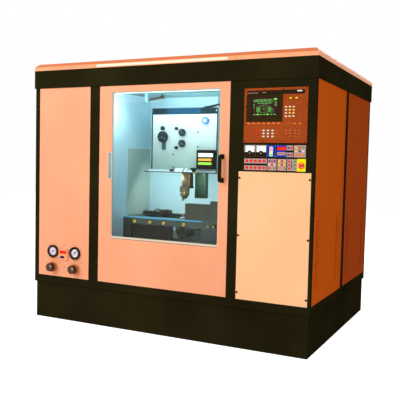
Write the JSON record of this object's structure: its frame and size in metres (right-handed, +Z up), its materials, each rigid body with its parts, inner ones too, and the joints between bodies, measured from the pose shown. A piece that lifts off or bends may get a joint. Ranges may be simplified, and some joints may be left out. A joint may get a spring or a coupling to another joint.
{
  "type": "wire edm machine",
  "caption": "Fully enclosed wire-cutting EDM cabinet with a glazed work-chamber door, wire head, slides and table inside, control console, gauges and regulators.",
  "frame": {"origin": "on the floor under the centre of the machine's bounding box", "axes": "+X to the right along the front, +Y from front to rear, +Z up"},
  "size_m": [2.35, 1.8, 2.055],
  "materials": {
    "black_paint": "satin enamel",
    "peach_paint": "smooth semi-gloss enamel",
    "brown_paint": "smooth semi-gloss enamel",
    "cap_paint": "smooth semi-gloss enamel",
    "chamber_white": "white washable enamel",
    "steel_sheet": "stainless sheet",
    "lamp_white": "diffuser",
    "cast_grey": "painted casting",
    "dark_trim": "satin",
    "steel": "ground",
    "table_iron": "ground and oiled",
    "dark_steel": "blackened",
    "chrome": "polished",
    "brass": "drawn wire",
    "disc_plastic": "moulded",
    "blue_plastic": "moulded",
    "black_plastic": "moulded",
    "display_brown": "satin",
    "monitor_brown": "moulded",
    "meter_white": "moulded",
    "plate_grey": "moulded",
    "key_orange": "moulded",
    "key_cream": "moulded",
    "button_red": "moulded",
    "button_mixed": "moulded",
    "button_navy": "moulded",
    "needle": "lacquered",
    "rack_grey": "sheet",
    "tank_steel": "stainless sheet",
    "filter_plastic": "moulded",
    "port_metal": "satin",
    "glass": "clear safety glass"
  },
  "bodies": {
    "cabinet": {"base_frame": "black_paint", "frame_posts": "black_paint", "frame_rails": "black_paint", "fascia_band": "black_paint", "roof_cap": "cap_paint", "left_front_panel": "peach_paint", "lower_right_panel": "peach_paint", "panel_fasteners": "black_plastic", "side_panels": "brown_paint", "rear_panels": "brown_paint", "chamber_liner": "chamber_white", "chamber_tray": "steel_sheet", "work_lamp": "lamp_white", "stay_struts": "black_paint", "machine_bed": "cast_grey", "column": "cast_grey", "head_housing": "chamber_white", "head_trim": "dark_trim", "lower_arm": "steel", "position_readout": "black_plastic", "electrode_wire": "brass", "console_plate": "black_paint", "display_panel": "display_brown", "crt_monitor": "monitor_brown", "panel_meters": "meter_white", "module_plates": "plate_grey", "air_fittings": "black_plastic", "conductivity_meter": "peach_paint", "generator_rack": "rack_grey", "dielectric_tank": "tank_steel", "filters_and_pump": "filter_plastic", "service_ports": "port_metal"},
    "door": {"door_leaf": "peach_paint", "door_glass": "glass", "door_handle": "black_plastic"},
    "saddle": {"saddle": "dark_steel"},
    "table": {"table": "table_iron", "work_clamps": "dark_steel"},
    "ram": {"z_ram": "steel"},
    "v_carriage": {"v_slide": "dark_steel"},
    "upper_guide": {"guide_head": "chrome"},
    "spool": {"supply_spool": "disc_plastic"},
    "upper_disc": {"upper_feed_disc": "disc_plastic"},
    "lower_disc": {"lower_feed_disc": "disc_plastic"},
    "roller": {"guide_roller": "disc_plastic"},
    "tension_lever": {"tension_arm": "disc_plastic"},
    "tension_dial": {"tension_knob": "blue_plastic"},
    "left_pointer": {"left_gauge_needle": "needle"},
    "right_pointer": {"right_gauge_needle": "needle"},
    "left_regulator": {"left_regulator_knob": "black_plastic"},
    "right_regulator": {"right_regulator_knob": "black_plastic"},
    "left_meter_pointer": {"left_meter_needle": "needle"},
    "right_meter_pointer": {"right_meter_needle": "needle"},
    "emergency_stop": {"stop_button": "button_red"},
    "reset": {"reset_button": "button_navy"},
    "soft_key_row": {"soft_keys": "key_orange"},
    "keypad": {"keypad_keys": "key_cream"},
    "strip_button_rows": {"strip_buttons": "button_red"},
    "pad_button_groups": {"pad_buttons": "button_mixed"}
  },
  "joints": [
    {"name": "door_hinge", "type": "hinge", "parent": "cabinet", "child": "door", "pos_m": [-0.53, -0.829, 1.1], "axis": [0, 0, -1], "range_deg": [0, 95]},
    {"name": "saddle_slide", "type": "slide", "parent": "cabinet", "child": "saddle", "axis": [0, 1, 0], "range_m": [-0.095, 0.095]},
    {"name": "table_slide", "type": "slide", "parent": "saddle", "child": "table", "axis": [1, 0, 0], "range_m": [-0.13, 0.13]},
    {"name": "ram_slide", "type": "slide", "parent": "cabinet", "child": "ram", "axis": [0, 0, 1], "range_m": [-0.045, 0.105]},
    {"name": "v_slide_axis", "type": "slide", "parent": "ram", "child": "v_carriage", "axis": [0, 1, 0], "range_m": [-0.015, 0.015], "deforming": ["electrode_wire"]},
    {"name": "u_slide_axis", "type": "slide", "parent": "v_carriage", "child": "upper_guide", "axis": [1, 0, 0], "range_m": [-0.015, 0.015], "deforming": ["electrode_wire"]},
    {"name": "upper_disc_spin", "type": "hinge", "parent": "cabinet", "child": "upper_disc", "pos_m": [-0.04635, -0.415, 1.52916], "axis": [0, 1, 0], "continuous": true},
    {"name": "lower_disc_spin", "type": "hinge", "parent": "cabinet", "child": "lower_disc", "pos_m": [-0.04635, -0.415, 1.44195], "axis": [0, 1, 0], "continuous": true},
    {"name": "spool_spin", "type": "hinge", "parent": "cabinet", "child": "spool", "pos_m": [-0.22207, -0.415, 1.49295], "axis": [0, 1, 0], "continuous": true},
    {"name": "roller_spin", "type": "hinge", "parent": "cabinet", "child": "roller", "pos_m": [-0.22326, -0.415, 1.56384], "axis": [0, 1, 0], "continuous": true},
    {"name": "tension_arm_pivot", "type": "hinge", "parent": "cabinet", "child": "tension_lever", "pos_m": [-0.21674, -0.404, 1.40625], "axis": [0, 1, 0], "range_deg": [-8, 8], "stiffness_Nm_per_rad": 0.3},
    {"name": "tension_dial_turn", "type": "hinge", "parent": "cabinet", "child": "tension_dial", "pos_m": [0.15799, -0.411, 1.62096], "axis": [0, 1, 0], "range_deg": [0, 270]},
    {"name": "left_gauge_sweep", "type": "hinge", "parent": "cabinet", "child": "left_pointer", "pos_m": [-0.9748, -0.8535, 0.551], "axis": [0, 1, 0], "range_deg": [0, 270], "stiffness_Nm_per_rad": 0.002},
    {"name": "right_gauge_sweep", "type": "hinge", "parent": "cabinet", "child": "right_pointer", "pos_m": [-0.75674, -0.8535, 0.551], "axis": [0, 1, 0], "range_deg": [0, 270], "stiffness_Nm_per_rad": 0.002},
    {"name": "left_regulator_turn", "type": "hinge", "parent": "cabinet", "child": "left_regulator", "pos_m": [-0.9748, -0.88, 0.425], "axis": [0, 1, 0], "range_deg": [-180, 180]},
    {"name": "right_regulator_turn", "type": "hinge", "parent": "cabinet", "child": "right_regulator", "pos_m": [-0.75674, -0.88, 0.425], "axis": [0, 1, 0], "range_deg": [-180, 180]},
    {"name": "left_meter_sweep", "type": "hinge", "parent": "cabinet", "child": "left_meter_pointer", "pos_m": [0.71301, -0.8475, 1.37305], "axis": [0, 1, 0], "range_deg": [0, 76], "stiffness_Nm_per_rad": 0.0002},
    {"name": "right_meter_sweep", "type": "hinge", "parent": "cabinet", "child": "right_meter_pointer", "pos_m": [0.79506, -0.8475, 1.37305], "axis": [0, 1, 0], "range_deg": [0, 76], "stiffness_Nm_per_rad": 0.0002},
    {"name": "stop_press", "type": "slide", "parent": "cabinet", "child": "emergency_stop", "axis": [0, 1, 0], "range_m": [0, 0.004], "stiffness_N_per_m": 300},
    {"name": "reset_press", "type": "slide", "parent": "cabinet", "child": "reset", "axis": [0, 1, 0], "range_m": [0, 0.002], "stiffness_N_per_m": 100},
    {"name": "soft_key_press", "type": "slide", "parent": "cabinet", "child": "soft_key_row", "axis": [0, 1, 0], "range_m": [0, 0.0015], "stiffness_N_per_m": 200},
    {"name": "keypad_press", "type": "slide", "parent": "cabinet", "child": "keypad", "axis": [0, 1, 0], "range_m": [0, 0.0015], "stiffness_N_per_m": 200},
    {"name": "strip_button_press", "type": "slide", "parent": "cabinet", "child": "strip_button_rows", "axis": [0, 1, 0], "range_m": [0, 0.0015], "stiffness_N_per_m": 200},
    {"name": "pad_button_press", "type": "slide", "parent": "cabinet", "child": "pad_button_groups", "axis": [0, 1, 0], "range_m": [0, 0.0015], "stiffness_N_per_m": 200}
  ],
  "couplings": [
    {"joint": "lower_disc_spin", "follows": "upper_disc_spin", "ratio": 1},
    {"joint": "spool_spin", "follows": "upper_disc_spin", "ratio": 0.66988},
    {"joint": "roller_spin", "follows": "upper_disc_spin", "ratio": 1.6969}
  ]
}
